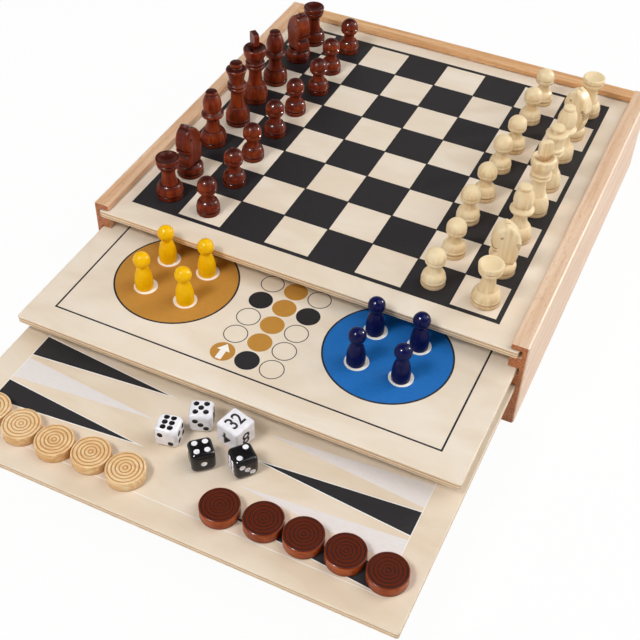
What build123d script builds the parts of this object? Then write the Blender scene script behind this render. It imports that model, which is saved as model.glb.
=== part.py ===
"""Games compendium box: three sliding game boards in a beech frame, with their pieces.

Millimetres. Origin at the centre of the box's underside, +Z up, +X to the right,
-Y towards the open front. The chess board is closed in its groove; the ludo and
backgammon boards are drawn out at the front with their pieces standing on them.
"""
import os

from build123d import *

# ---------------------------------------------------------------- boards
SQUARE = 32.0            # one square of the chess board
SQUARES = 8
MARGIN = 17.8            # bare border round the square field
BOARD = SQUARES * SQUARE + 2 * MARGIN
BOARD_T = 5.2
BOARD_R = 1.6            # corner radius in plan
EDGE_R = 0.5             # eased edges
LUDO_STRIP = 94.8        # what shows of the ludo board, in front of the chess board
BACKGAMMON_STRIP = 89.4  # and of the backgammon board, in front of the ludo board
SHIFT_CHESS, SHIFT_LUDO, SHIFT_BACKGAMMON = -0.8, -0.2, 1.3   # side play taken up

# ---------------------------------------------------------------- box frame
SIDE_T = 11.0            # beech side
BACK_T = 12.0            # beech back, between the sides
RAIL_T = 11.0            # low front rail that closes the piece compartment
OUTER_R = 1.8            # rounded outer edges
WALL = 3.7               # wood left outside a groove
BACK_GROOVE = 3.5        # depth of the grooves in the back
SIDE_PLAY = 1.5          # between a board's side edge and its groove
BACK_PLAY = 0.9          # between a closed board and the back groove's floor
FRONT_PROUD = 1.0        # a closed board stands just proud of the sides
PLAY_Z = 0.8             # groove height over the board's thickness
BASE_T = 4.0             # plywood bottom
RABBET = 5.5             # how far the bottom is let into the frame
BASE_GAP = 0.25          # clearance round the bottom
STORE_H = 23.6           # piece compartment, bottom to rail top
RAIL_PLAY = 0.8          # from the rail's top to the lowest board
BOARD_GAP = 9.2          # free height between two boards
BACK_RISE = 4.6          # frame over the chess board's playing surface

LEVEL_STEP = BOARD_T + BOARD_GAP
LOWEST_TOP = BASE_T + STORE_H + RAIL_PLAY + BOARD_T
TOPS = [LOWEST_TOP + LEVEL_STEP * k for k in (2, 1, 0)]        # chess, ludo, backgammon
BOX_W = BOARD + 2 * (SIDE_PLAY + WALL)
BOX_D = BOARD + BACK_PLAY + BACK_T - BACK_GROOVE - FRONT_PROUD
BOX_H = TOPS[0] + BACK_RISE
HALF_W, HALF_D = BOX_W / 2, BOX_D / 2
INNER_X = HALF_W - SIDE_T
BACK_Y = HALF_D - BACK_T
GROOVE_END = BACK_Y + BACK_GROOVE
RAIL_TOP = TOPS[2] - BOARD_T - RAIL_PLAY
PULLS = [0.0, LUDO_STRIP, LUDO_STRIP + BACKGAMMON_STRIP]
SHIFTS = [SHIFT_CHESS, SHIFT_LUDO, SHIFT_BACKGAMMON]

# ---------------------------------------------------------------- pieces
PAWN_H, LUDO_PAWN_H = 27.9, 27.8
FOOT_R = 0.7                                    # eased edge under every turned piece
COUNTER_R, COUNTER_T = 11.5, 7.2
COUNTER_RINGS = (1.3, 3.4, 5.5, 7.7, 10.0)
RING_W, RING_DEPTH = 0.8, 0.5
DIE, DIE_R = 14.2, 3.0
CUBE, CUBE_R = 15.8, 1.3
KING_H = 56.2                                   # to the top of the king's finial
FINIAL_W, FINIAL_T, FINIAL_R = 9.0, 3.8, 2.2    # flat plate with round shoulders
FINIAL_FOOT = 41.0                              # inside the crown
WAIST_Z, WAIST_R, WAIST_OUT = 44.4, 2.9, 0.6    # hollows that narrow the plate's foot
HEAD_T, HEAD_R = 10.2, 2.0                         # knight's head: thickness, eased sides
HEAD_FOOT, HEAD_H, HEAD_REACH = 8.6, 39.6, 8.8  # its foot, its ears' tips and its muzzle
CHEEK_R, CUT_W = 1.0, 0.7                       # eye hollows, and cut mouth and mane lines
CORNER_R = 0.8
EAR_GAP = 2.6                                   # notch between the knight's ears
MANE_CUTS = 7

# Places are (column, row) in squares from the front left corner of the square field. On the
# boards that are drawn out, the row is a share of the strip that shows, from its front edge.
DARK_RANK = {
    "rook_front": (0.497, 0.561), "knight_front": (0.481, 1.431),
    "bishop_front": (0.394, 2.628), "queen": (0.491, 3.575), "king": (0.431, 4.563),
    "bishop_back": (0.487, 5.469), "knight_back": (0.531, 6.637), "rook_back": (0.522, 7.506),
}
LIGHT_RANK = {
    "rook_front": (7.547, 0.481), "knight_front": (7.528, 1.456), "bishop_front": (7.5, 2.556),
    "king": (7.547, 3.566), "queen": (7.541, 4.5), "bishop_back": (7.494, 5.637),
    "knight_back": (7.5, 6.569), "rook_back": (7.574, 7.608),
}
DARK_PAWNS = [(1.478, 0.449), (1.5, 1.541), (1.425, 2.534), (1.456, 3.544), (1.481, 4.528),
              (1.587, 5.541), (1.478, 6.481), (1.491, 7.519)]
LIGHT_PAWNS = [(6.456, 0.509), (6.503, 1.525), (6.4, 2.644), (6.453, 3.528), (6.431, 4.619),
               (6.481, 5.462), (6.456, 6.688), (6.472, 7.572)]
YELLOW_PAWNS = [(1.203, 0.9165), (2.112, 0.9165), (1.197, 0.6117), (2.128, 0.6117)]
BLUE_PAWNS = [(5.794, 0.9165), (6.706, 0.9165), (5.794, 0.6117), (6.703, 0.6117)]
LIGHT_COUNTERS = [(0.203, 0.3043), (0.931, 0.2728), (1.666, 0.2571), (2.394, 0.2775),
                  (3.122, 0.2664)]
DARK_COUNTERS = [(4.953, 0.2818), (5.741, 0.3122), (6.478, 0.3187), (7.238, 0.3233), (8, 0.3097)]
DICE = {"white_die_six": (3.372, 0.6433, 11.7),
        "white_die_five": (3.722, 0.8413, 23.4),
        "black_die_four": (4.153, 0.566, 42.1),
        "black_die_two": (4.866, 0.6387, 50.3)}
CUBE_AT = (4.444, 0.8255, -14.5)
KNIGHT_TURN = {"dark_knight_front": -96, "dark_knight_back": -28,
               "light_knight_front": -156, "light_knight_back": 164}
KING_TURN = {"dark_king": -40, "light_king": 34}


def block(x0, x1, y0, y1, z0, z1):
    """Box between two corners."""
    return Pos((x0 + x1) / 2, (y0 + y1) / 2, (z0 + z1) / 2) * Box(x1 - x0, y1 - y0, z1 - z0)


def groove_floors():
    return [top - BOARD_T for top in TOPS]


def outer_face_edges(solid, axis, end):
    """Edges that lie on the solid's outer face."""
    return solid.faces().sort_by(axis)[end].edges()


def side_panel():
    """Right-hand side: three board grooves and a rabbet for the bottom."""
    panel = block(INNER_X, HALF_W, -HALF_D, HALF_D, 0, BOX_H)
    for floor in groove_floors():
        panel -= block(INNER_X - 1, HALF_W - WALL, -HALF_D - 1, GROOVE_END,
                       floor, floor + BOARD_T + PLAY_Z)
    panel -= block(INNER_X - 1, INNER_X + RABBET, -HALF_D + RAIL_T - RABBET,
                   BACK_Y + RABBET, -1, BASE_T)
    return fillet(outer_face_edges(panel, Axis.X, -1), OUTER_R)


def back_panel():
    """Back between the sides, grooved for the boards' back edges."""
    panel = block(-INNER_X, INNER_X, BACK_Y, HALF_D, 0, BOX_H)
    for floor in groove_floors():
        panel -= block(-INNER_X - 1, INNER_X + 1, BACK_Y - 1, GROOVE_END,
                       floor, floor + BOARD_T + PLAY_Z)
    panel -= block(-INNER_X - 1, INNER_X + 1, BACK_Y - 1, BACK_Y + RABBET, -1, BASE_T)
    long_edges = outer_face_edges(panel, Axis.Y, -1).filter_by(Axis.X)
    return fillet(long_edges, OUTER_R)


def front_rail():
    """Low rail under the backgammon board that keeps the stored pieces in."""
    rail = block(-INNER_X, INNER_X, -HALF_D, -HALF_D + RAIL_T, 0, RAIL_TOP)
    rail -= block(-INNER_X - 1, INNER_X + 1, -HALF_D + RAIL_T - RABBET,
                  -HALF_D + RAIL_T + 1, -1, BASE_T)
    long_edges = outer_face_edges(rail, Axis.Y, 0).filter_by(Axis.X)
    return fillet(long_edges, OUTER_R)


def base_panel():
    reach = INNER_X + RABBET - BASE_GAP
    front = -HALF_D + RAIL_T - RABBET + BASE_GAP
    return block(-reach, reach, front, BACK_Y + RABBET - BASE_GAP, 0, BASE_T)


def board_front(level):
    """Front edge of the board on a level: 0 chess, 1 ludo, 2 backgammon."""
    return -HALF_D - FRONT_PROUD - PULLS[level]


def board(level):
    """Square plywood board on its level, drawn out by its pull."""
    top, shift, front = TOPS[level], SHIFTS[level], board_front(level)
    plate = block(shift - BOARD / 2, shift + BOARD / 2, front, front + BOARD,
                  top - BOARD_T, top)
    plate = fillet(plate.edges().filter_by(Axis.Z), BOARD_R)
    faces = plate.faces().sort_by(Axis.Z)
    return fillet(faces[0].edges() + faces[-1].edges(), EDGE_R)


def turned(steps):
    """Lathe shape about Z: (r, z) is a straight cut, (r, z, r, z) an arc's mid and end."""
    here, edges = (0.0, 0.0), []
    for step in list(steps) + [(0.0, steps[-1][-1])]:
        end = step[-2:]
        if end == here:
            continue
        start3, end3 = (here[0], 0, here[1]), (end[0], 0, end[1])
        if len(step) == 4:
            edges.append(ThreePointArc(start3, (step[0], 0, step[1]), end3))
        else:
            edges.append(Line(start3, end3))
        here = end
    edges.append(Line((0, 0, here[1]), (0, 0, 0)))
    return revolve(Face(Wire(edges)), axis=Axis.Z)


def eased(r, z, radius, sign=1):
    """Quarter-round corner at radius r that starts (sign 1) or ends (-1) on the level z."""
    bite = radius * (1 - 0.5 ** 0.5)
    mid = (r - bite, z + sign * bite)
    if sign > 0:
        return [(r - radius, z), mid + (r, z + radius)]
    return [(r, z - radius), mid + (r - radius, z)]


def dome(r, z, apex):
    """Arc from (r, z) to the axis at apex, centred on the axis so that it sweeps a sphere."""
    centre = (apex ** 2 - z ** 2 - r ** 2) / (2 * (apex - z))
    radius = abs(apex - centre)
    mr, mz = r, (z - centre) + (apex - centre)
    scale = radius / (mr ** 2 + mz ** 2) ** 0.5
    return [(mr * scale, centre + mz * scale, 0.0, apex)]


def foot(r):
    """Base ring with the groove turned above it, shared by every chessman."""
    return eased(r, 0.0, FOOT_R) + [(r, 3.0), (r - 0.8, 3.6, r, 4.2)]


def pawn():
    return turned(foot(7.9) + [
        (7.9, 5.0), (7.5, 5.6), (7.0, 8.4, 5.3, 10.4), (4.8, 10.7), (4.1, 13.0, 4.0, 15.0),
        (4.6, 16.2), (6.2, 17.5, 6.5, 19.8), (6.1, 20.3), (6.6, 20.9)] + dome(6.6, 20.9, PAWN_H))


def rook():
    return turned(foot(9.1) + [
        (9.1, 5.0), (8.8, 5.6), (8.2, 8.8, 6.6, 10.8), (5.8, 11.0), (5.5, 11.8),
        (4.7, 16.0, 4.6, 21.6), (5.4, 22.6), (7.0, 24.4, 7.6, 27.0), (7.1, 27.5), (7.8, 28.0),
        (8.0, 30.4), (7.8, 31.0, 7.2, 31.3), (6.4, 31.2)] + dome(6.4, 31.2, 29.0))


def bishop():
    return turned(foot(9.1) + [
        (9.1, 5.2), (8.6, 8.6, 6.9, 11.6), (6.1, 12.0), (4.7, 16.2, 4.5, 20.2),
        (5.2, 21.2), (7.4, 23.0), (8.0, 24.4, 7.3, 25.8), (6.2, 26.6), (5.7, 27.2),
        (6.6, 33.4, 4.2, 40.0), (3.7, 40.4), (4.2, 41.5, 3.5, 42.6)] + dome(3.5, 42.6, 43.0))


def queen():
    return turned(foot(8.9) + [
        (8.9, 5.6), (8.2, 10.0, 6.4, 14.0), (5.9, 14.4), (4.8, 20.0, 4.7, 27.0),
        (5.6, 28.0), (6.9, 29.2, 6.4, 30.4), (5.9, 30.8), (6.8, 32.0, 6.2, 33.2),
        (5.5, 33.7), (5.4, 34.6), (5.9, 38.8, 7.1, 42.6), (7.5, 43.8, 6.7, 44.9),
        (4.2, 45.7), (3.8, 46.2), (4.6, 47.8, 4.1, 49.3)] + dome(4.1, 49.3, 49.8))


def king_body():
    return turned(foot(9.1) + [
        (9.1, 5.6), (8.4, 10.0, 6.6, 14.0), (6.1, 14.4), (5.0, 20.0, 4.9, 27.0),
        (5.9, 28.0), (7.2, 29.2, 6.6, 30.4), (6.1, 30.8), (7.1, 32.0, 6.5, 33.2),
        (5.6, 33.8), (5.6, 34.8), (7.6, 37.6, 8.3, 41.8), (8.3, 43.4, 7.4, 44.4),
        (6.5, 44.2)] + dome(6.5, 44.2, 41.8))


def king(turn):
    """King with a flat plate finial let into the dished crown."""
    height = KING_H - FINIAL_FOOT
    plate = Pos(0, 0, FINIAL_FOOT + height / 2) * Box(FINIAL_W, FINIAL_T, height)
    top = plate.faces().sort_by(Axis.Z)[-1].edges().filter_by(Axis.Y)
    plate = fillet(top, FINIAL_R)
    waist = Pos(0, 0, WAIST_Z) * Rot(90, 0, 0) * Cylinder(WAIST_R, FINIAL_T * 2)
    for side in (-1, 1):
        plate -= Pos(side * (FINIAL_W / 2 + WAIST_OUT), 0, 0) * waist
    return Rot(0, 0, turn) * (king_body() + plate)


def on_head(x, z):
    """Point on the knight's head: shares of its muzzle's reach and of its height."""
    return (x * HEAD_REACH, HEAD_FOOT + z * (HEAD_H - HEAD_FOOT))


def knight_head():
    """Flat-sided horse's head, looking along +X."""
    corners = [(-0.75, 0), (0.84, 0), (1, 0.15, 0.84, 0.29), (0.68, 0.33, 0.64, 0.36),
               (0.91, 0.38, 0.99, 0.445), (0.943, 0.494, 1, 0.53), (1, 0.658, 0.875, 0.768),
               (0.68, 0.884, 0.318, 0.948), (0.16, 1), (-0.09, 0.96),
               (-0.9, 0.703, -0.977, 0.348), (-0.932, 0.161, -0.75, 0)]
    here, outline = on_head(*corners[0]), []
    for corner in corners[1:]:
        end = on_head(*corner[-2:])
        if len(corner) == 4:
            outline.append(ThreePointArc(here, on_head(*corner[:2]), end))
        else:
            outline.append(Line(here, end))
        here = end
    flat = Face(Wire(outline))
    flat = fillet([v for v in flat.vertices() if v.Y > HEAD_FOOT + 1], CORNER_R)
    head = extrude(Plane.XZ * flat, amount=HEAD_T / 2, both=True)
    sides = head.faces().sort_by(Axis.Y)
    head = fillet(sides[0].edges() + sides[-1].edges(), HEAD_R)
    head -= Pos(HEAD_REACH * 0.18, 0, HEAD_H) * Rot(45, 0, 0) * Box(HEAD_T, EAR_GAP, EAR_GAP)
    x, z = on_head(0.41, 0.71)
    for side in (-1, 1):
        head -= Pos(x, side * HEAD_T / 2, z) * Sphere(CHEEK_R)
    x, z = on_head(0.93, 0.461)
    head -= Pos(x, 0, z) * Rot(0, -14, 0) * Box(HEAD_T / 2, HEAD_T + 2, CUT_W)
    x, z = on_head(0.045, 0.348)
    for k in range(MANE_CUTS):
        cut = Pos(-HEAD_REACH - CUT_W, 0, 0) * Box(2.4, HEAD_T + 2, CUT_W)
        head -= Pos(x, 0, z) * Rot(0, 8 * k - 6, 0) * cut
    return head


def knight(turn):
    base = turned(foot(9.2) + [(9.2, 5.0), (8.9, 7.2, 7.1, 9.0), (6.8, 9.4), (6.8, 9.8)])
    return Rot(0, 0, turn) * (base + knight_head())


def ludo_pawn():
    return turned(eased(5.8, 0.0, FOOT_R) + [(5.9, 3.6), (5.5, 9.4, 3.3, 16.6), (3.2, 17.6),
                                             (3.5, 18.2)] + dome(3.5, 18.2, LUDO_PAWN_H))


def counter():
    """Draughts and backgammon counter with turned rings in its upper face."""
    steps = eased(COUNTER_R, 0.0, FOOT_R) + eased(COUNTER_R, COUNTER_T, FOOT_R, -1)
    for r in reversed(COUNTER_RINGS):
        steps += [(r + RING_W / 2, COUNTER_T),
                  (r, COUNTER_T - RING_DEPTH, r - RING_W / 2, COUNTER_T)]
    return turned(steps)


def die(size, radius):
    cube = Pos(0, 0, size / 2) * Box(size, size, size)
    return fillet(cube.edges(), radius)


def put(shape, level, column, row, turn=0.0):
    """Stands a piece on a board, at its column and row."""
    x = SHIFTS[level] + (column - SQUARES / 2) * SQUARE
    back = row * (PULLS[level] - PULLS[level - 1]) if level else MARGIN + row * SQUARE
    return Pos(x, board_front(level) + back, TOPS[level]) * Rot(0, 0, turn) * shape


def group(shape, level, places):
    return Compound([put(shape, level, *place) for place in places])


def chessman(colour, name):
    kind = name.split("_")[0]
    if kind == "knight":
        return knight(KNIGHT_TURN[f"{colour}_{name}"])
    if kind == "king":
        return king(KING_TURN[f"{colour}_{name}"])
    return {"rook": rook, "bishop": bishop, "queen": queen}[kind]()


def build():
    right = side_panel()
    nodes = {
        "right_side": right,
        "left_side": mirror(right, about=Plane.YZ),
        "back_panel": back_panel(),
        "front_rail": front_rail(),
        "base_panel": base_panel(),
        "chess_board": board(0),
        "ludo_board": board(1),
        "backgammon_board": board(2),
    }
    for colour, rank, pawns in (("dark", DARK_RANK, DARK_PAWNS), ("light", LIGHT_RANK, LIGHT_PAWNS)):
        for name, place in rank.items():
            nodes[f"{colour}_{name}"] = put(chessman(colour, name), 0, *place)
        for k, place in enumerate(pawns, 1):
            nodes[f"{colour}_pawn_{k}"] = put(pawn(), 0, *place)
    for colour, places in (("yellow", YELLOW_PAWNS), ("blue", BLUE_PAWNS)):
        for k, place in enumerate(places, 1):
            nodes[f"{colour}_ludo_pawn_{k}"] = put(ludo_pawn(), 1, *place)
    nodes["light_counters"] = group(counter(), 2, LIGHT_COUNTERS)
    nodes["dark_counters"] = group(counter(), 2, DARK_COUNTERS)
    for name, place in DICE.items():
        nodes[name] = put(die(DIE, DIE_R), 2, *place)
    nodes["doubling_cube"] = put(die(CUBE, CUBE_R), 2, *CUBE_AT)
    return nodes


if __name__ == "__main__":
    os.makedirs("parts", exist_ok=True)
    for node, shape in build().items():
        export_step(shape, f"parts/{node}.step")
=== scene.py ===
"""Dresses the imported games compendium: timber, plywood layers, prints, dots and numbers."""

import logging
import math
from collections.abc import Sequence
from dataclasses import dataclass
from enum import Enum

import bpy
from mathutils import Matrix, Vector


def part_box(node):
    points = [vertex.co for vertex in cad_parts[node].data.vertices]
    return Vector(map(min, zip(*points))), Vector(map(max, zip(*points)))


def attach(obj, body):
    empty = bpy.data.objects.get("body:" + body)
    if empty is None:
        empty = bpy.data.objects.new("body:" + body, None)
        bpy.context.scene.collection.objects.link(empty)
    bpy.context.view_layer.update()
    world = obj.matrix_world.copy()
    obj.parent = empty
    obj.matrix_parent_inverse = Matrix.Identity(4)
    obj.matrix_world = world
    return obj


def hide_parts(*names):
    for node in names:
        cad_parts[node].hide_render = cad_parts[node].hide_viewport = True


LOG = logging.getLogger("compendium")
MM = 0.001
SQUARES = 8                          # squares along a side of the chess board
SQUARE = 32 * MM                     # one square of the chess board
PRINT_MIDDLE = (4.075, 4.12)         # the box's middle, in squares from the print's corner
MARGIN = 17.8 * MM                   # bare border round the boards' square field
PRINT_T = 0.05 * MM                  # one layer of printing ink
DIE_SUM = 7                          # opposite faces of a die add up to it
EASED_ANGLE = math.radians(35)       # edges flatter than this are shaded smooth


class Axis(Enum):
    """Direction that a timber's grain runs in."""

    X = 0
    Y = 1
    Z = 2


def linear(colour: str) -> tuple:
    """Turns an sRGB hex colour into linear RGBA.

    Args:
        colour: Colour as #RRGGBB.

    Returns:
        Red, green, blue and a full alpha.
    """
    values = [int(colour[i:i + 2], 16) / 255 for i in (1, 3, 5)]
    return tuple(v / 12.92 if v <= 0.04045 else ((v + 0.055) / 1.055) ** 2.4
                 for v in values) + (1.0,)


def at(column: float, row: float, z: float) -> Vector:
    """Place on a board, counted in chess squares from the chess print's front left corner."""
    return Vector(((column - PRINT_MIDDLE[0]) * SQUARE, (row - PRINT_MIDDLE[1]) * SQUARE, z))


def add_node(tree: bpy.types.NodeTree, kind: str, inputs: dict | None = None,
             stops: Sequence[tuple[float, str]] = (), **settings: object) -> bpy.types.Node:
    """Adds a shader node with its settings and links.

    By number, a Map Range takes its value, its old range and its new range, and a colour Mix
    takes its factor at 0 and its colours at 6 and 7.

    Args:
        tree: Node tree that takes the node.
        kind: Node type without its ShaderNode prefix.
        inputs: Socket name or number, and the value or output socket that it takes.
        stops: Places and sRGB colours along a colour ramp.
        settings: Attributes of the node.

    Returns:
        The node.
    """
    node = tree.nodes.new("ShaderNode" + kind)
    for name, value in settings.items():
        setattr(node, name, value)
    for socket, value in (inputs or {}).items():
        if isinstance(value, bpy.types.NodeSocket):
            tree.links.new(value, node.inputs[socket])
        else:
            node.inputs[socket].default_value = value
    if stops:
        elements = node.color_ramp.elements
        while len(elements) < len(stops):
            elements.new(0.5)
        for element, (place, colour) in zip(elements, stops):
            element.position, element.color = place, linear(colour)
    return node


def new_tree(name: str) -> tuple[bpy.types.Material, bpy.types.NodeTree]:
    """Makes an empty node material.

    Args:
        name: Name of the material.

    Returns:
        The material and its node tree.
    """
    material = bpy.data.materials.new(name)
    material.use_nodes = True
    material.node_tree.nodes.clear()
    return material, material.node_tree


def close(tree: bpy.types.NodeTree, colour: object, roughness: object, height: object = None,
          bump_mm: float = 0.05, **gloss: float) -> None:
    """Ends a node tree in one Principled shader.

    Args:
        tree: Node tree to finish.
        colour: Base colour, linear RGBA or a socket.
        roughness: Roughness, a number or a socket.
        height: Socket that the bump follows, or None for a smooth surface.
        bump_mm: Height of the bump in millimetres.
        gloss: Further Principled inputs, with underscores for spaces.
    """
    inputs = {"Base Color": colour, "Roughness": roughness}
    inputs.update({name.replace("_", " "): value for name, value in gloss.items()})
    if height is not None:
        bump = add_node(tree, "Bump", {"Height": height, "Distance": bump_mm * MM,
                                       "Strength": 1.0})
        inputs["Normal"] = bump.outputs[0]
    shader = add_node(tree, "BsdfPrincipled", inputs)
    add_node(tree, "OutputMaterial", {0: shader.outputs[0]})


def stretched(tree: bpy.types.NodeTree, along: Axis, length: float) -> bpy.types.NodeSocket:
    """Object coordinates drawn out along the grain.

    Args:
        tree: Node tree that takes the nodes.
        along: Direction of the grain.
        length: How many times as long as wide a pattern's marks become.

    Returns:
        Socket of the coordinates.
    """
    scale = [1.0, 1.0, 1.0]
    scale[along.value] = 1 / length
    place = add_node(tree, "TexCoord").outputs["Object"]
    return add_node(tree, "Mapping", {0: place, 3: scale}).outputs[0]


def facing(tree: bpy.types.NodeTree, axis: Axis) -> bpy.types.NodeSocket:
    """How squarely a face looks along an axis.

    Args:
        tree: Node tree that takes the nodes.
        axis: Axis to compare the face with.

    Returns:
        Socket that is 1 on a face square to the axis and 0 on one beside it.
    """
    normal = add_node(tree, "TexCoord").outputs["Normal"]
    part = add_node(tree, "SeparateXYZ", {0: normal}).outputs[axis.value]
    return add_node(tree, "Math", {0: part}, operation="ABSOLUTE").outputs[0]


@dataclass(frozen=True)
class PlanedBeech:
    """Steamed beech, planed and sanded, with a clear satin coat: warm pink-tan with flecks."""

    name: str
    along: Axis
    pale: str = "#EEC698"
    middle: str = "#E0AE7C"
    deep: str = "#CE9562"
    fleck: str = "#BC8254"
    end_grain: str = "#9A5530"
    end_pale: str = "#C07A4B"
    streak_mm: float = 4.0           # width of a colour streak across the grain
    streak_length: float = 24.0      # and times as long as that along it
    fleck_mm: float = 0.7            # ray flecks are about that wide and 5 mm long
    fleck_length: float = 7.0
    end_pore_mm: float = 0.9         # pores of the end grain, coarse enough to show
    bump_mm: float = 0.03
    roughness: float = 0.42

    def make(self) -> bpy.types.Material:
        """Builds the node tree.

        Returns:
            The material.
        """
        material, tree = new_tree(self.name)
        streaks = add_node(tree, "TexNoise", {
            "Vector": stretched(tree, self.along, self.streak_length),
            "Scale": 1 / (self.streak_mm * MM), "Detail": 5.0, "Roughness": 0.6})
        timber = add_node(tree, "ValToRGB", {0: streaks.outputs[0]},
                          [(0.3, self.deep), (0.48, self.middle), (0.68, self.pale)])
        flecks = add_node(tree, "TexNoise", {
            "Vector": stretched(tree, self.along, self.fleck_length),
            "Scale": 1 / (self.fleck_mm * MM), "Detail": 2.0})
        mask = add_node(tree, "MapRange", {0: flecks.outputs[0], 1: 0.56, 2: 0.72, 3: 0.0,
                                           4: 0.5})
        flecked = add_node(tree, "Mix", {0: mask.outputs[0], 6: timber.outputs[0],
                                         7: linear(self.fleck)}, data_type="RGBA")
        sawn = add_node(tree, "MapRange", {0: facing(tree, self.along), 1: 0.75, 2: 0.95})
        pores = add_node(tree, "TexNoise", {
            "Vector": add_node(tree, "TexCoord").outputs["Object"],
            "Scale": 1 / (self.end_pore_mm * MM), "Detail": 2.0})
        ends = add_node(tree, "ValToRGB", {0: pores.outputs[0]},
                        [(0.35, self.end_grain), (0.62, self.end_pale)])
        colour = add_node(tree, "Mix", {0: sawn.outputs[0], 6: flecked.outputs[2],
                                        7: ends.outputs[0]}, data_type="RGBA")
        close(tree, colour.outputs[2], self.roughness, flecks.outputs[0], self.bump_mm,
              Specular_IOR_Level=0.35)
        return material


@dataclass(frozen=True)
class BirchPly:
    """Five-ply birch board, sanded and clear-coated: cream faces, banded sawn edges."""

    name: str
    top: float                       # height of the upper face
    thickness: float = 5.2 * MM
    plies: int = 5
    pale: str = "#F1E5D5"
    middle: str = "#EDDFCC"
    deep: str = "#E8D7C1"
    edge_pale: str = "#F7EAD4"
    edge_cross: str = "#DDB989"      # plies that show their end grain
    edge_glue: str = "#9C6236"
    glue: float = 0.03               # half of a glue line, in thicknesses
    figure_mm: float = 26.0          # rotary-cut figure is broad and faint
    figure_length: float = 2.2
    pore_mm: float = 0.5
    pore_length: float = 9.0
    fibre_mm: float = 0.9            # torn fibres along the sawn edge
    fibre_length: float = 3.0
    bump_mm: float = 0.015
    roughness: float = 0.5

    def make(self) -> bpy.types.Material:
        """Builds the node tree.

        Returns:
            The material.
        """
        material, tree = new_tree(self.name)
        cloud = add_node(tree, "TexNoise", {
            "Vector": stretched(tree, Axis.X, self.figure_length),
            "Scale": 1 / (self.figure_mm * MM), "Detail": 4.0, "Distortion": 0.6})
        figure = add_node(tree, "ValToRGB", {0: cloud.outputs[0]},
                          [(0.32, self.deep), (0.5, self.middle), (0.68, self.pale)])
        pores = add_node(tree, "TexNoise", {
            "Vector": stretched(tree, Axis.X, self.pore_length),
            "Scale": 1 / (self.pore_mm * MM), "Detail": 2.0})
        specks = add_node(tree, "MapRange", {0: pores.outputs[0], 1: 0.6, 2: 0.78, 3: 0.0,
                                             4: 0.3})
        face = add_node(tree, "Mix", {0: specks.outputs[0], 6: figure.outputs[0],
                                      7: linear(self.deep)}, data_type="RGBA")
        place = add_node(tree, "TexCoord").outputs["Object"]
        height = add_node(tree, "SeparateXYZ", {0: place}).outputs[2]
        level = add_node(tree, "MapRange", {0: height, 1: self.top - self.thickness,
                                            2: self.top})
        layers = add_node(tree, "ValToRGB", {0: level.outputs[0]}, self.layers())
        grit = add_node(tree, "TexNoise", {
            "Vector": stretched(tree, Axis.X, self.fibre_length),
            "Scale": 1 / (self.fibre_mm * MM), "Detail": 3.0})
        fibre = add_node(tree, "MapRange", {0: grit.outputs[0], 1: 0.45, 2: 0.75, 3: 0.0,
                                            4: 0.15})
        edge = add_node(tree, "Mix", {0: fibre.outputs[0], 6: layers.outputs[0],
                                      7: linear(self.edge_glue)}, data_type="RGBA")
        flat = add_node(tree, "MapRange", {0: facing(tree, Axis.Z), 1: 0.35, 2: 0.8})
        colour = add_node(tree, "Mix", {0: flat.outputs[0], 6: edge.outputs[2],
                                        7: face.outputs[2]}, data_type="RGBA")
        close(tree, colour.outputs[2], self.roughness, pores.outputs[0], self.bump_mm,
              Specular_IOR_Level=0.3)
        return material

    def layers(self) -> list[tuple[float, str]]:
        """Plies and glue lines, from the lower face to the upper one.

        Returns:
            Places and colours along the board's thickness.
        """
        stops = []
        for ply in range(self.plies):
            low, high = ply / self.plies, (ply + 1) / self.plies
            colour = self.edge_cross if ply % 2 else self.edge_pale
            stops += [(low + self.glue, colour), (high - self.glue, colour),
                      (high, self.edge_glue)]
        return stops[:-1]


@dataclass(frozen=True)
class PrintedInk:
    """Screen-printed ink on sanded ply: flat satin colour with the wood's grain just showing."""

    name: str
    colour: str
    worn: str
    grain_mm: float = 0.6
    grain_length: float = 9.0
    bump_mm: float = 0.015
    roughness: float = 0.5

    def make(self) -> bpy.types.Material:
        """Builds the node tree.

        Returns:
            The material.
        """
        material, tree = new_tree(self.name)
        grain = add_node(tree, "TexNoise", {
            "Vector": stretched(tree, Axis.X, self.grain_length),
            "Scale": 1 / (self.grain_mm * MM), "Detail": 3.0})
        colour = add_node(tree, "ValToRGB", {0: grain.outputs[0]},
                          [(0.3, self.colour), (0.75, self.worn)])
        close(tree, colour.outputs[0], self.roughness, grain.outputs[0], self.bump_mm,
              Specular_IOR_Level=0.3)
        return material


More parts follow.
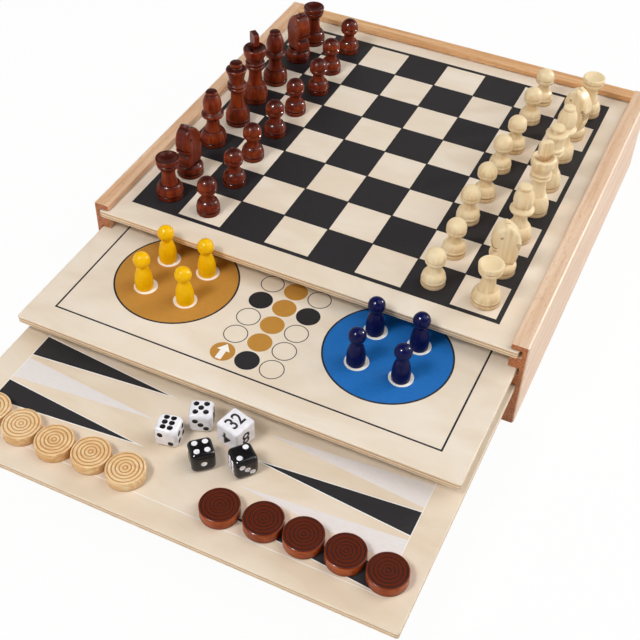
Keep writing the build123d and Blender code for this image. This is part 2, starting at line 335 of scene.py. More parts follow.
@dataclass(frozen=True)
class TurnedWood:
    """Close-grained wood turned on a lathe, stained or clear, under gloss lacquer, with painted
    shade on faces that look up or down and in its hollows.
    """

    name: str
    deep: str
    middle: str
    pale: str
    flat: str                        # colour blended onto faces that look up or down: painted shade on the tops
    hollow_shade: str                      # painted shade in turned grooves and other hollows, found by ambient occlusion
    roughness: float
    coat: float
    along: Axis = Axis.Z
    line_mm: float = 2.0
    line_length: float = 14.0        # times as long as wide
    patch_mm: float = 9.0
    patch_length: float = 3.0
    top_shade_share: float = 1.0          # how much of the painted top shade those faces take
    hollow_mm: float = 4.5           # how near a wall makes a groove
    hollow_shade_share: float = 0.75
    bump_mm: float = 0.004

    def make(self) -> bpy.types.Material:
        """Builds the node tree.

        Returns:
            The material.
        """
        material, tree = new_tree(self.name)
        lines = add_node(tree, "TexNoise", {
            "Vector": stretched(tree, self.along, self.line_length),
            "Scale": 1 / (self.line_mm * MM), "Detail": 2.0})
        patch = add_node(tree, "TexNoise", {
            "Vector": stretched(tree, self.along, self.patch_length),
            "Scale": 1 / (self.patch_mm * MM), "Detail": 2.0})
        grain = add_node(tree, "Mix", {0: 0.5, 2: lines.outputs[0], 3: patch.outputs[0]})
        timber = add_node(tree, "ValToRGB", {0: grain.outputs[0]},
                          [(0.38, self.deep), (0.5, self.middle), (0.62, self.pale)])
        # Painted shade: faces that look up or down are blended toward the flat colour, standing
        # in for the darker tops that the lighting gives.
        level = add_node(tree, "MapRange", {0: facing(tree, Axis.Z), 1: 0.35, 2: 0.95,
                                            4: self.top_shade_share})
        stained = add_node(tree, "Mix", {0: level.outputs[0], 6: timber.outputs[0],
                                         7: linear(self.flat)}, data_type="RGBA")
        # Painted shade: where ambient occlusion finds walls close by, the colour darkens toward
        # the hollow shade colour.
        openness = add_node(tree, "AmbientOcclusion", {"Distance": self.hollow_mm * MM},
                            samples=8)
        sunk = add_node(tree, "MapRange", {0: openness.outputs["AO"], 1: 0.3, 2: 0.95,
                                           3: self.hollow_shade_share, 4: 0.0})
        colour = add_node(tree, "Mix", {0: sunk.outputs[0], 6: stained.outputs[2],
                                        7: linear(self.hollow_shade)}, data_type="RGBA")
        close(tree, colour.outputs[2], self.roughness, lines.outputs[0], self.bump_mm,
              Coat_Weight=self.coat, Coat_Roughness=0.06, Specular_IOR_Level=0.1)
        return material


@dataclass(frozen=True)
class Lacquer:
    """Solid-colour gloss lacquer over turned wood: even and bright, faint orange peel."""

    name: str
    colour: str
    shade: str
    peel_mm: float = 2.5
    bump_mm: float = 0.006
    roughness: float = 0.3

    def make(self) -> bpy.types.Material:
        """Builds the node tree.

        Returns:
            The material.
        """
        material, tree = new_tree(self.name)
        peel = add_node(tree, "TexNoise", {
            "Vector": add_node(tree, "TexCoord").outputs["Object"],
            "Scale": 1 / (self.peel_mm * MM), "Detail": 2.0})
        colour = add_node(tree, "ValToRGB", {0: peel.outputs[0]},
                          [(0.35, self.shade), (0.6, self.colour)])
        close(tree, colour.outputs[0], self.roughness, peel.outputs[0], self.bump_mm,
              Coat_Weight=0.2, Coat_Roughness=0.05, Specular_IOR_Level=0.08)
        return material


@dataclass(frozen=True)
class MouldedPlastic:
    """Polished moulded acrylic, as dice are made of: hard gloss, slight cloudiness."""

    name: str
    colour: str
    cloud: str
    cloud_mm: float = 5.0
    roughness: float = 0.16

    def make(self) -> bpy.types.Material:
        """Builds the node tree.

        Returns:
            The material.
        """
        material, tree = new_tree(self.name)
        haze = add_node(tree, "TexNoise", {
            "Vector": add_node(tree, "TexCoord").outputs["Object"],
            "Scale": 1 / (self.cloud_mm * MM), "Detail": 1.0})
        colour = add_node(tree, "ValToRGB", {0: haze.outputs[0]},
                          [(0.4, self.cloud), (0.6, self.colour)])
        close(tree, colour.outputs[0], self.roughness, Specular_IOR_Level=0.35)
        return material


class Finish:
    """Every finish of the set, made once."""

    def __init__(self) -> None:
        """Makes the materials."""
        self.beech_left = PlanedBeech("beech_left_side", Axis.Y, "#F0CFAE", "#E4B892",
                                      "#D4A078", "#C18D66").make()
        self.beech_right = PlanedBeech("beech_right_side", Axis.Y, "#EDD2B9", "#E3C2A4",
                                       "#D5AC88", "#C4946F").make()
        self.beech_cross = PlanedBeech("beech_along_x", Axis.X).make()
        self.ply = {name: BirchPly(f"birch_ply_{name}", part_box(name)[1].z).make()
                    for name in ("chess_board", "ludo_board")}
        self.ply["backgammon_board"] = BirchPly(
            "birch_ply_backgammon_board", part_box("backgammon_board")[1].z, pale="#EFE1CE",
            middle="#EBDAC4", deep="#E4D0B6").make()
        self.ply["base_panel"] = BirchPly("birch_ply_base_panel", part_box("base_panel")[1].z,
                                          thickness=4 * MM).make()
        self.black_ink = PrintedInk("black_ink", "#1E1C1F", "#272428").make()
        self.white_ink = PrintedInk("white_ink", "#FBF8F3", "#F6F0E7").make()
        self.pale_ink = PrintedInk("pale_grey_ink", "#EFE9E8", "#E8E0DB").make()
        self.ochre_ink = PrintedInk("ochre_ink", "#BC832F", "#C48D3C").make()
        self.blue_ink = PrintedInk("blue_ink", "#0566B6", "#1370BE").make()
        self.red_ink = PrintedInk("red_ink", "#B0302A", "#BC453C").make()
        self.green_ink = PrintedInk("green_ink", "#2C7A46", "#3B8854").make()
        # The fourth colour of each turned wood is painted shade on faces that look up or down,
        # and the fifth is painted shade in its hollows.
        self.mahogany = TurnedWood("mahogany_stain", "#5E1A07", "#742509", "#8C380E", "#3E0E05",
                                   "#1C0403", 0.38, 0.2).make()
        self.maple = TurnedWood("pale_maple", "#E9CC9C", "#F1DAB2", "#F6E5C1", "#F0DAB0",
                                "#A87440", 0.4, 0.2).make()
        self.pale_counter = TurnedWood("pale_beech_counter", "#E0B27A", "#EFCB99", "#F7DFB8",
                                       "#F1CE9D", "#B9824A", 0.45, 0.1, Axis.X,
                                       patch_mm=22.0, top_shade_share=0.4).make()
        self.dark_counter = TurnedWood("mahogany_counter", "#8C3810", "#A44816", "#B8581E",
                                       "#622411", "#240604", 0.3, 0.3, Axis.X).make()
        # Darker lines laid in the bottom of the counters' ring grooves.
        self.pale_groove = PrintedInk("pale_groove_line", "#C5925A", "#D09D66").make()
        self.dark_groove = PrintedInk("dark_groove_line", "#200705", "#2C0C07").make()
        self.yellow = Lacquer("yellow_lacquer", "#F9C200", "#F6BB00").make()
        self.navy = Lacquer("navy_lacquer", "#0A104C", "#080C3C").make()
        self.white_plastic = MouldedPlastic("white_acrylic", "#F7F6FB", "#EFEEF6").make()
        self.black_plastic = MouldedPlastic("black_acrylic", "#121113", "#1B1A1C").make()


class Bench:
    """Hand operations on small flat and round shapes."""

    @staticmethod
    def clear() -> None:
        """Deselects everything."""
        bpy.ops.object.select_all(action="DESELECT")

    @staticmethod
    def only(piece: bpy.types.Object) -> None:
        """Selects one piece and makes it active.

        Args:
            piece: Piece to select.
        """
        Bench.clear()
        piece.select_set(True)
        bpy.context.view_layer.objects.active = piece

    @staticmethod
    def settle(piece: bpy.types.Object) -> bpy.types.Object:
        """Moves a piece's place, turn and size into its mesh.

        Args:
            piece: Piece to settle.

        Returns:
            The same piece.
        """
        Bench.only(piece)
        bpy.ops.object.transform_apply(location=True, rotation=True, scale=True)
        return piece

    @staticmethod
    def disc(centre: Vector, radius: float, sides: int = 48) -> bpy.types.Object:
        """Adds a flat round face.

        Args:
            centre: Its middle.
            radius: Its radius.
            sides: Corners round the rim.

        Returns:
            The face.
        """
        Bench.clear()
        bpy.ops.mesh.primitive_circle_add(vertices=sides, radius=radius, fill_type="NGON",
                                          location=centre)
        return Bench.settle(bpy.context.object)

    @staticmethod
    def tile(centre: Vector, width: float, depth: float) -> bpy.types.Object:
        """Adds a flat rectangle.

        Args:
            centre: Its middle.
            width: Its size along X.
            depth: Its size along Y.

        Returns:
            The rectangle.
        """
        Bench.clear()
        bpy.ops.mesh.primitive_plane_add(size=1, location=centre)
        piece = bpy.context.object
        piece.scale = (width, depth, 1)
        return Bench.settle(piece)

    @staticmethod
    def wedge(base: Vector, tip: Vector, half: float) -> bpy.types.Object:
        """Adds a flat triangle with two equal sides.

        Args:
            base: Middle of its base.
            tip: Its tip.
            half: Half the length of its base.

        Returns:
            The triangle.
        """
        Bench.clear()
        way = tip - base
        bpy.ops.mesh.primitive_circle_add(vertices=3, radius=1, fill_type="NGON",
                                          location=base + way / 3)
        piece = bpy.context.object
        piece.scale = (half / math.sin(math.radians(60)), way.length / 1.5, 1)
        piece.rotation_euler = (0, 0, math.atan2(way.y, way.x) - math.pi / 2)
        return Bench.settle(piece)

    @staticmethod
    def outline(piece: bpy.types.Object, width: float) -> bpy.types.Object:
        """Keeps only a border of a flat face.

        Args:
            piece: Flat face.
            width: Width of the border, inwards from the rim.

        Returns:
            The same piece.
        """
        Bench.only(piece)
        bpy.ops.object.mode_set(mode="EDIT")
        bpy.ops.mesh.select_all(action="SELECT")
        bpy.ops.mesh.inset(thickness=width, depth=0)
        bpy.ops.mesh.delete(type="FACE")
        bpy.ops.object.mode_set(mode="OBJECT")
        return piece

    @staticmethod
    def join(pieces: list[bpy.types.Object], name: str) -> bpy.types.Object:
        """Joins pieces into one.

        Args:
            pieces: Pieces to join; the first one takes in the others.
            name: Name of the joined piece.

        Returns:
            The joined piece.
        """
        Bench.clear()
        for piece in pieces:
            piece.select_set(True)
        bpy.context.view_layer.objects.active = pieces[0]
        if len(pieces) > 1:
            bpy.ops.object.join()
        pieces[0].name = pieces[0].data.name = name
        return pieces[0]

    @staticmethod
    def apply(piece: bpy.types.Object, kind: str, **settings: object) -> None:
        """Adds a modifier, sets it and applies it.

        Args:
            piece: Piece to work on.
            kind: Type of the modifier.
            settings: Attributes of the modifier.
        """
        Bench.only(piece)
        modifier = piece.modifiers.new(kind.lower(), kind)
        for name, value in settings.items():
            setattr(modifier, name, value)
        bpy.ops.object.modifier_apply(modifier=modifier.name)

    @staticmethod
    def dress(piece: bpy.types.Object, material: bpy.types.Material, body: str,
              slot: str) -> None:
        """Gives a piece its only material and its body.

        Args:
            piece: Piece to dress.
            material: Its material.
            body: Body that it rides on.
            slot: Material slot of the record; not used.
        """
        piece.data.materials.clear()
        piece.data.materials.append(material)
        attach(piece, body)
        LOG.info("made %s: %d faces", piece.name, len(piece.data.polygons))


def dress_node(node: str, material: bpy.types.Material) -> None:
    """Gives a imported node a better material.

    Args:
        node: Name of the node.
        material: Its material.
    """
    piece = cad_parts[node]
    for place in piece.material_slots:
        place.material = material
    if not piece.material_slots:
        piece.data.materials.append(material)
    LOG.info("dressed %s in %s", node, material.name)


@dataclass
class Cabinet:
    """Beech frame with its plywood bottom."""

    finish: Finish

    def dress(self) -> None:
        """Gives the frame's nodes their timber."""
        dress_node("left_side", self.finish.beech_left)
        dress_node("right_side", self.finish.beech_right)
        for node in ("back_panel", "front_rail"):
            dress_node(node, self.finish.beech_cross)
        dress_node("base_panel", self.finish.ply["base_panel"])


@dataclass
class PrintedBoard:
    """Plywood board with printing on its upper face."""

    finish: Finish
    node: str
    body: str

    def level(self, layer: int = 0) -> float:
        """Height of the underside of a layer of ink."""
        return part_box(self.node)[1].z + layer * PRINT_T

    def print_ink(self, shapes: list[bpy.types.Object], name: str,
                  ink: bpy.types.Material) -> None:
        """Joins flat shapes into one printed piece with the ink's thickness.

        Args:
            shapes: Flat shapes, none over another.
            name: Name of the printed piece.
            ink: Its ink.
        """
        piece = Bench.join(shapes, name)
        Bench.apply(piece, "SOLIDIFY", thickness=PRINT_T, offset=1.0)
        Bench.dress(piece, ink, self.body, "birch_ply")

    def border(self, low: tuple, high: tuple, width: float) -> bpy.types.Object:
        """Adds a flat rectangular line.

        Args:
            low: Its outer front left corner, in squares.
            high: Its outer back right corner, in squares.
            width: Width of the line, in squares.

        Returns:
            The line.
        """
        a, b = at(*low, self.level()), at(*high, self.level())
        tile = Bench.tile((a + b) / 2, b.x - a.x, b.y - a.y)
        return Bench.outline(tile, width * SQUARE)


@dataclass
class ChessBoard(PrintedBoard):
    """Eight by eight black and bare squares inside a broad black line."""

    line: float = 0.1                # lengths on the boards' prints are in squares
    reach: float = 0.05              # how far the line stands outside the squares
    overlap: float = 0.012           # black squares just meet at their corners

    def build(self) -> None:
        """Prints the board."""
        dress_node(self.node, self.finish.ply[self.node])
        z = self.level()
        low, high = self.reach, SQUARES - self.reach
        tiles = []
        for column in range(SQUARES):
            for row in range(SQUARES):
                if (column + row) % 2:
                    continue
                x0, x1 = max(column - self.overlap, low), min(column + 1 + self.overlap, high)
                y0, y1 = max(row - self.overlap, low), min(row + 1 + self.overlap, high)
                tiles.append(Bench.tile(at((x0 + x1) / 2, (y0 + y1) / 2, z),
                                        (x1 - x0) * SQUARE, (y1 - y0) * SQUARE))
        self.print_ink(tiles, "chess_black_squares", self.finish.black_ink)
        line = self.border((-self.reach, -self.reach),
                           (SQUARES + self.reach, SQUARES + self.reach), self.line)
        self.print_ink([line], "chess_border_line", self.finish.black_ink)


@dataclass
class LudoBoard(PrintedBoard):
    """Cross of round spaces between four round homes."""

    centre: tuple = (4.031, 1.01)
    pitch: float = 0.519             # from one space to the next
    arm: int = 7                     # spaces along an arm of the cross
    gate: int = 4                    # row whose outer spaces are black
    spot: float = 0.24               # radius of a space
    home: float = 1.265              # radius of a home
    home_off: float = 2.295          # from the board's middle to a home's, each way
    start_off: float = 0.45          # from a home's middle to its spots, each way
    hairline: float = 0.018          # round an open space
    home_line: float = 0.036         # round a home and the whole print
    round_sides: int = 128
    frame_low: tuple = (0.0125, -3.025)
    frame_high: tuple = (8.08, 5.05)
    arrow_tail: float = -0.2         # an arrow's places along a space, from its middle
    arrow_neck: float = 0.03
    arrow_tip: float = 0.21
    arrow_stem: float = 0.12
    arrow_head: float = 0.135        # half the head's width

    def turned(self, x: float, y: float, quarter: int, layer: int) -> Vector:
        """Place after a number of quarter turns about the board's middle.

        Args:
            x: Squares to the right of the middle.
            y: Squares behind it.
            quarter: Number of quarter turns.
            layer: Layer of ink.

        Returns:
            The place.
        """
        for _ in range(quarter):
            x, y = -y, x
        return at(self.centre[0] + x, self.centre[1] + y, self.level(layer))

    def build(self) -> None:
        """Prints the board: homes, start spots, track, arrows and border."""
        ink = self.finish
        dress_node(self.node, ink.ply[self.node])
        fills = {"ochre": ink.ochre_ink, "blue": ink.blue_ink, "red": ink.red_ink,
                 "green": ink.green_ink}
        black, rings, starts, arrows = [], [], [], []
        spot, step = self.spot * SQUARE, self.pitch
        for quarter, (colour, fill) in enumerate(fills.items()):
            home = self.turned(-self.home_off, -self.home_off, quarter, 0)
            filled = [Bench.disc(home, (self.home - self.home_line) * SQUARE,
                                 self.round_sides)]
            black.append(Bench.outline(
                Bench.disc(home, self.home * SQUARE, self.round_sides),
                self.home_line * SQUARE))
            for dx in (-1, 1):
                for dy in (-1, 1):
                    place = self.turned(-self.home_off + dx * self.start_off,
                                        -self.home_off + dy * self.start_off, quarter, 1)
                    starts.append(Bench.disc(place, spot))
            for row in range(-self.arm, -1):
                for column in (-1, 0, 1):
                    place = self.turned(column * step, row * step, quarter, 0)
                    end = row == -self.arm
                    if (end and column == -1) or (not end and column == 0):
                        filled.append(Bench.disc(place, spot))
                    elif (end and column == 0) or (row == -self.gate and column != 0):
                        black.append(Bench.disc(place, spot))
                    else:
                        rings.append(Bench.outline(Bench.disc(place, spot),
                                                   self.hairline * SQUARE))
            arrows += self.arrow(quarter)
            self.print_ink(filled, f"ludo_{colour}_print", fill)
        self.print_ink(black, "ludo_black_print", ink.black_ink)
        self.print_ink(rings, "ludo_track_rings", ink.black_ink)
        self.print_ink(starts, "ludo_start_spots", ink.white_ink)
        self.print_ink(arrows, "ludo_arrows", ink.white_ink)
        line = self.border(self.frame_low, self.frame_high, self.home_line)
        self.print_ink([line], "ludo_border_line", ink.black_ink)

    def arrow(self, quarter: int) -> list[bpy.types.Object]:
        """Adds the arrow on the space where a colour's pawns start.

        Args:
            quarter: Number of quarter turns to the arm of the cross.

        Returns:
            The arrow's stem and head.
        """
        x, y = -self.pitch, -self.arm * self.pitch
        low = self.turned(x, y + self.arrow_tail, quarter, 1)
        neck = self.turned(x, y + self.arrow_neck, quarter, 1)
        tip = self.turned(x, y + self.arrow_tip, quarter, 1)
        wide, long = self.arrow_stem * SQUARE, (neck - low).length
        across = abs(tip.x - low.x) > abs(tip.y - low.y)
        stem = Bench.tile((low + neck) / 2, *((long, wide) if across else (wide, long)))
        return [stem, Bench.wedge(neck, tip, self.arrow_head * SQUARE)]


@dataclass
class BackgammonBoard(PrintedBoard):
    """Twenty-four long points in two halves, black and pale in turn."""

    rows: int = 13                   # places along a side, of which the bar takes one
    bar: int = 6
    first: float = -5.557            # middle of the front point
    pitch: float = 0.6225
    half: float = 0.26               # half a point's width
    tips: tuple = ((3.05, 2.96), (5.08, 5.2))        # left and right; pale and black
    left: float = 0.0625
    right: float = 8.1625
    front: float = -5.86
    back: float = 2.217
    keyline: float = 0.02            # white line round the black points
    frame_line: float = 0.015        # and round the whole print

    def build(self) -> None:
        """Prints the board."""
        ink = self.finish
        dress_node(self.node, ink.ply[self.node])
        under, black, pale = [], [], []
        rows = [row for row in range(self.rows) if row != self.bar]
        for count, row in enumerate(rows):
            y = self.first + row * self.pitch
            for side, (edge, way) in enumerate(((self.left, 1), (self.right, -1))):
                dark = (count + side) % 2
                tip = self.tips[side][dark]
                base = edge + way * self.frame_line
                if dark:
                    slope = math.hypot(self.half, tip - base) / self.half
                    under.append(Bench.wedge(
                        at(base, y, self.level()),
                        at(tip + way * self.keyline * slope, y, self.level()),
                        (self.half + self.keyline) * SQUARE))
                z = self.level(dark)
                (black if dark else pale).append(
                    Bench.wedge(at(base, y, z), at(tip, y, z), self.half * SQUARE))
        self.print_ink(under, "backgammon_keylines", ink.white_ink)
        self.print_ink(black, "backgammon_black_points", ink.black_ink)
        self.print_ink(pale, "backgammon_pale_points", ink.pale_ink)
        line = self.border((self.left, self.front), (self.right, self.back),
                           self.frame_line)
        self.print_ink([line], "backgammon_border_line", ink.white_ink)


@dataclass
class Chessmen:
    """Both armies of turned pieces."""

    finish: Finish

    def dress(self) -> None:
        """Stains the dark men and leaves the light ones clear."""
        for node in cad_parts:
            if node.startswith("dark_") and node != "dark_counters":
                dress_node(node, self.finish.mahogany)
            elif node.startswith("light_") and node != "light_counters":
                dress_node(node, self.finish.maple)


@dataclass
class LudoPawns:
    """Yellow and blue ludo pawns."""

    finish: Finish

    def dress(self) -> None:
        """Lacquers the pawns."""
        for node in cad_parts:
            if node.startswith("yellow_"):
                dress_node(node, self.finish.yellow)
            elif node.startswith("blue_"):
                dress_node(node, self.finish.navy)


@dataclass
class Counters:
    """A row of turned counters with a darker line laid in the bottom of each ring."""

    node: str
    wood: bpy.types.Material
    ring_ink: bpy.types.Material
    slot: str
    places: tuple                    # columns and rows, in squares from the square field
    rings: tuple = (1.3, 3.4, 5.5, 7.7, 10.0)        # radii in millimetres
    line: float = 0.4 * MM           # width of the darker line
    sunk: float = 0.4 * MM           # how deep it lies in a ring

    def build(self) -> None:
        """Dresses the counters and lays a darker line in every ring."""
        dress_node(self.node, self.wood)
        low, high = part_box("backgammon_board")
        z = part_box(self.node)[1].z - self.sunk
        lines = []
        for column, row in self.places:
            centre = Vector(((low.x + high.x) / 2 + (column - SQUARES / 2) * SQUARE,
                             low.y + MARGIN + row * SQUARE, z))
            lines += [Bench.outline(Bench.disc(centre, ring * MM + self.line / 2), self.line)
                      for ring in self.rings]
        piece = Bench.join(lines, self.node + "_ring_line")
        Bench.apply(piece, "SOLIDIFY", thickness=PRINT_T, offset=1.0)
        Bench.dress(piece, self.ring_ink, self.node, self.slot)


class Face(Enum):
    """A cube's faces: outward direction and the face's own right-hand direction."""

    TOP = ((0, 0, 1), (1, 0, 0))
    BOTTOM = ((0, 0, -1), (1, 0, 0))
    FRONT = ((0, -1, 0), (1, 0, 0))
    BACK = ((0, 1, 0), (-1, 0, 0))
    RIGHT = ((1, 0, 0), (0, 1, 0))
    LEFT = ((-1, 0, 0), (0, -1, 0))

    def turn(self) -> Matrix:
        """Lays the XY plane on the face.

        Returns:
            The rotation.
        """
        normal, right = Vector(self.value[0]), Vector(self.value[1])
        up = normal.cross(right)
        return Matrix((right, up, normal)).transposed().to_4x4()


# Places of a die's dots on a face, in shares of the spread
DOTS = {
    1: [(0, 0)], 2: [(-1, 1), (1, -1)], 3: [(-1, 1), (0, 0), (1, -1)],
    4: [(-1, -1), (-1, 1), (1, -1), (1, 1)],
    5: [(-1, -1), (-1, 1), (1, -1), (1, 1), (0, 0)],
    6: [(-0.69, -1.2), (-0.69, 0), (-0.69, 1.2), (0.69, -1.2), (0.69, 0), (0.69, 1.2)],
}


@dataclass
class Die:
    """Moulded die with drilled and painted dots, replacing the plain solid."""

    node: str
    turn: float                      # about the vertical, in degrees
    top: int
    front: int
    right: int
    shell: bpy.types.Material
    paint: bpy.types.Material
    slot: str
    mirrored: tuple = ()             # faces whose diagonal runs the other way
    size: float = 14.2 * MM
    rounding: float = 3.0 * MM
    rounding_steps: int = 6
    spread: float = 0.215            # from a face's middle to its dots, in sizes
    dot: float = 1.75 * MM           # radius of a dot at the surface
    drilled: float = 0.6 * MM        # its depth
    drill_over: float = 0.02 * MM    # the drill's middle stands just clear of the face
    drill_sides: tuple = (24, 15)    # round the drill and from tip to tip

    def build(self) -> None:
        """Makes the die: rounded cube, dots drilled into all six faces."""
        low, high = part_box(self.node)
        centre = (low + high) / 2
        Bench.clear()
        bpy.ops.mesh.primitive_cube_add(size=self.size)
        cube = bpy.context.object
        cube.data.materials.append(self.shell)
        Bench.apply(cube, "BEVEL", width=self.rounding, segments=self.rounding_steps)
        bit = Bench.join(self.drills(), self.node + "_drill")
        bit.data.materials.append(self.paint)
        Bench.apply(cube, "BOOLEAN", object=bit, operation="DIFFERENCE", solver="EXACT",
                    material_mode="TRANSFER")
        bpy.data.objects.remove(bit)
        cube.rotation_euler = (0, 0, math.radians(self.turn))
        cube.location = centre
        Bench.settle(cube)
        bpy.ops.object.shade_smooth_by_angle(angle=EASED_ANGLE)
        cube.name = cube.data.name = self.node + "_dotted"
        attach(cube, self.node)
        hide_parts(self.node)
        LOG.info("made %s: %d faces", cube.name, len(cube.data.polygons))

    def drills(self) -> list[bpy.types.Object]:
        """Adds a flattened ball for every dot, round the world's origin.

        Returns:
            The balls.
        """
        around, rings = self.drill_sides
        numbers = {Face.TOP: self.top, Face.BOTTOM: DIE_SUM - self.top,
                   Face.FRONT: self.front, Face.BACK: DIE_SUM - self.front,
                   Face.RIGHT: self.right, Face.LEFT: DIE_SUM - self.right}
        drills = []
        for face, number in numbers.items():
            flip = -1 if face in self.mirrored else 1
            for x, y in DOTS[number]:
                spot = Vector((flip * x * self.spread * self.size, y * self.spread * self.size,
                               self.size / 2 + self.drill_over))
                Bench.clear()
                bpy.ops.mesh.primitive_uv_sphere_add(segments=around, ring_count=rings,
                                                     radius=self.dot)
                drill = bpy.context.object
                drill.data.transform(face.turn() @ Matrix.Translation(spot) @ Matrix.Diagonal(
                    (1, 1, self.drilled / self.dot, 1)))
                drills.append(drill)
        return drills


@dataclass
class DoublingCube:
    """White cube with the doubling numbers printed on its faces."""

    finish: Finish
    node: str = "doubling_cube"
    turn: float = -14.5              # about the vertical, in degrees
    size: float = 15.8 * MM
    letter: float = 12.4 * MM        # font size; the digits are 0.7 of it tall
    bolder: float = 0.19 * MM        # added round every stroke
    narrow: float = 0.85             # how far two digits are drawn together

    def build(self) -> None:
        """Dresses the cube and makes its numbers."""
        dress_node(self.node, self.finish.white_plastic)
        low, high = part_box(self.node)
        place = Matrix.Translation((low + high) / 2) @ Matrix.Rotation(
            math.radians(self.turn), 4, "Z")
        numbers = [("32", Face.TOP, 90), ("64", Face.BOTTOM, 0), ("4", Face.FRONT, 180),
                   ("8", Face.RIGHT, 180), ("2", Face.LEFT, 0), ("16", Face.BACK, 90)]
        made = []
        for text, face, spin in numbers:
            Bench.clear()
            bpy.ops.object.text_add()
            words = bpy.context.object
            words.data.body = text
            words.data.size = self.letter
            words.data.offset = self.bolder
            words.data.align_x, words.data.align_y = "CENTER", "CENTER"
            bpy.ops.object.convert(target="MESH")
            words = bpy.context.object
            onto = (place @ face.turn() @ Matrix.Translation((0, 0, self.size / 2))
                    @ Matrix.Rotation(math.radians(spin), 4, "Z")
                    @ Matrix.Diagonal((self.narrow if len(text) > 1 else 1, 1, 1, 1)))
            words.data.transform(onto)
            made.append(words)
        piece = Bench.join(made, "doubling_cube_numbers")
        Bench.apply(piece, "SOLIDIFY", thickness=PRINT_T, offset=1.0)
        Bench.dress(piece, self.finish.black_ink, self.node, "black_plastic")


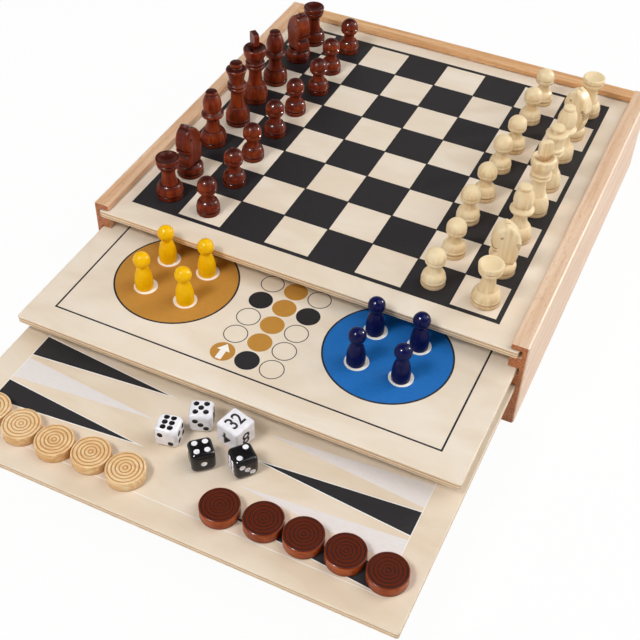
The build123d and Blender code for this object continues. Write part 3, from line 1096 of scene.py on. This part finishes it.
@dataclass
class Studio:
    """Camera, soft lamps and the pale floor."""

    eye: tuple = (0.21917, -0.60739, 0.52998)
    right: tuple = (0.90385, 0.42717, 0.02396)       # the camera's own axes
    up: tuple = (-0.31703, 0.63110, 0.70796)
    back: tuple = (0.28730, -0.64749, 0.70584)
    lens: float = 61.87              # in millimetres, as the sensor
    sensor: float = 36.0
    aim: tuple = (0.0, -0.08, 0.04)  # where every lamp looks
    floor_size: float = 40.0
    floor_white: str = "#FAFAFA"
    floor_glow: float = 0.95         # share of plain white in the floor as it is seen
    fill: str = "#FFF9F1"            # a little warm, as a room of wood throws it back
    horizon: float = 0.7             # the world's strength round the horizon
    ceiling: float = 0.08            # and overhead, so that dark lacquer stays deep
    cornice: tuple = (0.3, 0.6)      # rise of a ray where one gives way to the other

    def build(self) -> None:
        """Sets the scene up round the object."""
        self.camera()
        self.floor()
        self.world()
        self.lamp("overhead_softbox", (0.75, 0.20, 1.30), 1.2, 10.8)
        self.lamp("front_softbox", (-0.37, -0.90, 1.18), 0.4, 9.0)
        self.lamp("side_softbox", (1.05, 0.95, 0.62), 0.4, 5.0)
        self.lamp("front_glint", (-0.37, -0.86, 1.22), 0.15, 28.0, glints_only=True)
        self.lamp("side_glint", (1.07, 0.99, 0.60), 0.15, 22.0, glints_only=True)
        view = bpy.context.scene.view_settings
        view.view_transform = "Standard"

    def camera(self) -> None:
        """Places the camera."""
        data = bpy.data.cameras.new("camera")
        data.lens, data.sensor_width = self.lens, self.sensor
        camera = bpy.data.objects.new("camera", data)
        bpy.context.scene.collection.objects.link(camera)
        columns = Matrix((self.right, self.up, self.back)).transposed()
        camera.matrix_world = Matrix.Translation(self.eye) @ columns.to_4x4()
        bpy.context.scene.camera = camera

    def lamp(self, name: str, place: tuple, size: float, power: float,
             glints_only: bool = False) -> None:
        """Adds a square soft lamp that looks at the object.

        Args:
            name: Name of the lamp.
            place: Where it stands, in metres.
            size: Length of a side.
            power: Strength in watts.
            glints_only: Whether it shows in gloss alone, as a small bright window does.
        """
        data = bpy.data.lights.new(name, "AREA")
        data.size, data.energy = size, power
        lamp = bpy.data.objects.new(name, data)
        bpy.context.scene.collection.objects.link(lamp)
        lamp.location = place
        lamp.visible_diffuse = not glints_only
        way = Vector(self.aim) - Vector(place)
        lamp.rotation_euler = way.to_track_quat("-Z", "Y").to_euler()

    def floor(self) -> None:
        """Lays the floor under the box."""
        Bench.clear()
        bpy.ops.mesh.primitive_plane_add(size=self.floor_size, location=(0, 0, 0))
        floor = bpy.context.object
        floor.name = "floor"
        material, tree = new_tree("white_paper")
        paper = add_node(tree, "BsdfDiffuse", {0: linear(self.floor_white)})
        glow = add_node(tree, "Emission", {0: (1, 1, 1, 1), 1: 1.0})
        path = add_node(tree, "LightPath")
        seen = path.outputs["Is Camera Ray"]
        for ray in ("Is Glossy Ray", "Is Transmission Ray"):
            seen = add_node(tree, "Math", {0: seen, 1: path.outputs[ray]},
                            operation="MAXIMUM").outputs[0]
        share = add_node(tree, "Math", {0: seen, 1: self.floor_glow}, operation="MULTIPLY")
        both = add_node(tree, "MixShader", {0: share.outputs[0], 1: paper.outputs[0],
                                            2: glow.outputs[0]})
        add_node(tree, "OutputMaterial", {0: both.outputs[0]})
        floor.data.materials.append(material)

    def world(self) -> None:
        """Sets a pale world, white round the horizon and dim overhead."""
        world = bpy.data.worlds.new("studio")
        bpy.context.scene.world = world
        world.use_nodes = True
        world.node_tree.nodes.clear()
        tree = world.node_tree
        way = add_node(tree, "TexCoord").outputs["Generated"]
        rise = add_node(tree, "SeparateXYZ", {0: way}).outputs[2]
        low, high = self.cornice
        strength = add_node(tree, "MapRange", {0: rise, 1: low, 2: high, 3: self.horizon,
                                               4: self.ceiling})
        shade = add_node(tree, "Background", {0: linear(self.fill), 1: strength.outputs[0]})
        add_node(tree, "OutputWorld", {0: shade.outputs[0]})


def main() -> None:
    """Builds every sub-assembly in order."""
    logging.basicConfig(level=logging.INFO, format="%(name)s %(message)s")
    finish = Finish()
    Studio().build()
    Cabinet(finish).dress()
    ChessBoard(finish, "chess_board", "frame").build()
    LudoBoard(finish, "ludo_board", "ludo_board").build()
    BackgammonBoard(finish, "backgammon_board", "backgammon_board").build()
    Chessmen(finish).dress()
    LudoPawns(finish).dress()
    for counters in (
            Counters("light_counters", finish.pale_counter, finish.pale_groove, "pale_counter",
                     ((0.203, 0.294), (0.931, 0.206), (1.666, 0.162), (2.394, 0.219),
                      (3.122, 0.188))),
            Counters("dark_counters", finish.dark_counter, finish.dark_groove, "dark_counter",
                     ((4.953, 0.231), (5.741, 0.316), (6.478, 0.334), (7.238, 0.347),
                      (8.0, 0.309)), line=0.5 * MM, sunk=0.25 * MM)):
        counters.build()
    white, black = finish.white_plastic, finish.black_plastic
    for die in (
            Die("white_die_six", 11.7, 6, 2, 4, white, black, "white_plastic"),
            Die("white_die_five", 23.4, 5, 3, 6, white, black, "white_plastic"),
            Die("black_die_four", 42.1, 4, 1, 5, black, white, "black_plastic"),
            Die("black_die_two", 50.3, 2, 3, 1, black, white, "black_plastic",
                mirrored=(Face.TOP,))):
        die.build()
    DoublingCube(finish).build()


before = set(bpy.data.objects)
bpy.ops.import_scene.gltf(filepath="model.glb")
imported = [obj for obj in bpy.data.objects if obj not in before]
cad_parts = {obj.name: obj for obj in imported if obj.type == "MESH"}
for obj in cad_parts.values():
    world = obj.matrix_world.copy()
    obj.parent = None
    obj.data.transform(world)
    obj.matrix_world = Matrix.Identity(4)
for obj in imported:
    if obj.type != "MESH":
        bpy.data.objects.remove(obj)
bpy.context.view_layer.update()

if __name__ == "__main__":
    main()
